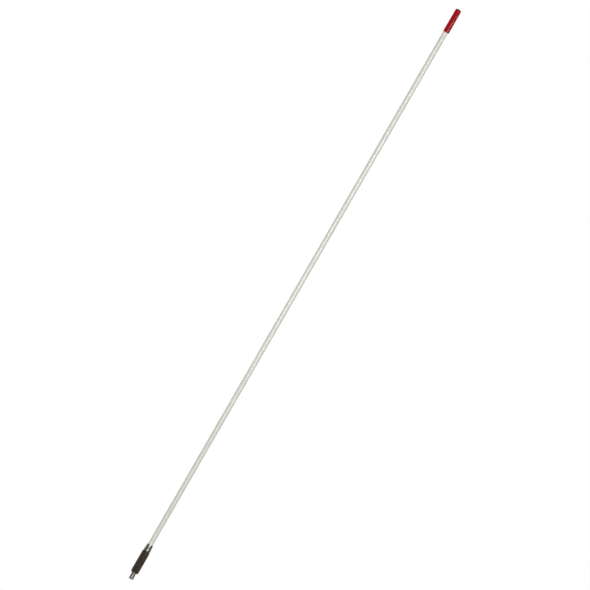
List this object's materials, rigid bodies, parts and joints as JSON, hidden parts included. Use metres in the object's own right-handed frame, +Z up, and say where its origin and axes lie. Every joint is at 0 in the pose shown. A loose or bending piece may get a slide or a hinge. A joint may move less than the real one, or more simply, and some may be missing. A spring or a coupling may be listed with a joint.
{
  "type": "roller extension pole",
  "caption": "Slim off-white glass-fibre extension pole with a red grip cap and a dark spring-loaded sleeve fitting that ends in a trapezoidal threaded stud.",
  "frame": {"origin": "on the pole's axis, in the plane of the adapter flange's lower face, where a roller frame's socket seats", "axes": "+Z up the pole to the grip cap, so the threaded stud points along -Z; the two heads of the collar rivet face -Y and +Y"},
  "size_m": [0.031, 0.031, 2.4384],
  "materials": {
    "glass_fibre": "satin pultruded glass fibre",
    "red_vinyl": "glossy dipped vinyl",
    "black_plastic": "moulded",
    "core_wood": "turned hardwood",
    "bright_steel": "bright plated",
    "dark_sleeve": "dark bronze coating, finely knurled",
    "spring_steel": "plain spring steel",
    "black_rubber": "moulded",
    "rivet_steel": "plain",
    "ball_steel": "polished"
  },
  "bodies": {
    "pole": {"pole_tube": "glass_fibre", "grip_cap": "red_vinyl", "tube_end_plug": "black_plastic", "tube_core_plug": "core_wood", "coupling_body": "bright_steel", "guide_bush": "black_plastic", "sleeve_spring": "spring_steel", "retaining_ring": "spring_steel", "sleeve_o_ring": "black_rubber", "collar_rivet": "rivet_steel", "tube_cross_pin": "rivet_steel", "thread_adapter": "bright_steel"},
    "sleeve": {"lock_sleeve": "dark_sleeve", "spring_washer": "spring_steel"},
    "ball_1": {"lock_ball_1": "ball_steel"},
    "ball_2": {"lock_ball_2": "ball_steel"},
    "ball_3": {"lock_ball_3": "ball_steel"}
  },
  "joints": [
    {"name": "sleeve_slide", "type": "slide", "parent": "pole", "child": "sleeve", "axis": [0, 0, 1], "range_m": [0, 0.009], "stiffness_N_per_m": 1126, "springref_m": -0.015, "deforming": ["sleeve_spring"]},
    {"name": "ball_1_slide", "type": "slide", "parent": "pole", "child": "ball_1", "axis": [0.866, 0.5, 0], "range_m": [0, 0.0016]},
    {"name": "ball_2_slide", "type": "slide", "parent": "pole", "child": "ball_2", "axis": [-0.866, 0.5, 0], "range_m": [0, 0.0016]},
    {"name": "ball_3_slide", "type": "slide", "parent": "pole", "child": "ball_3", "axis": [0, -1, 0], "range_m": [0, 0.0016]}
  ],
  "couplings": [
    {"joint": "ball_1_slide", "follows": "sleeve_slide", "ratio": 0.17778},
    {"joint": "ball_2_slide", "follows": "sleeve_slide", "ratio": 0.17778},
    {"joint": "ball_3_slide", "follows": "sleeve_slide", "ratio": 0.17778}
  ]
}
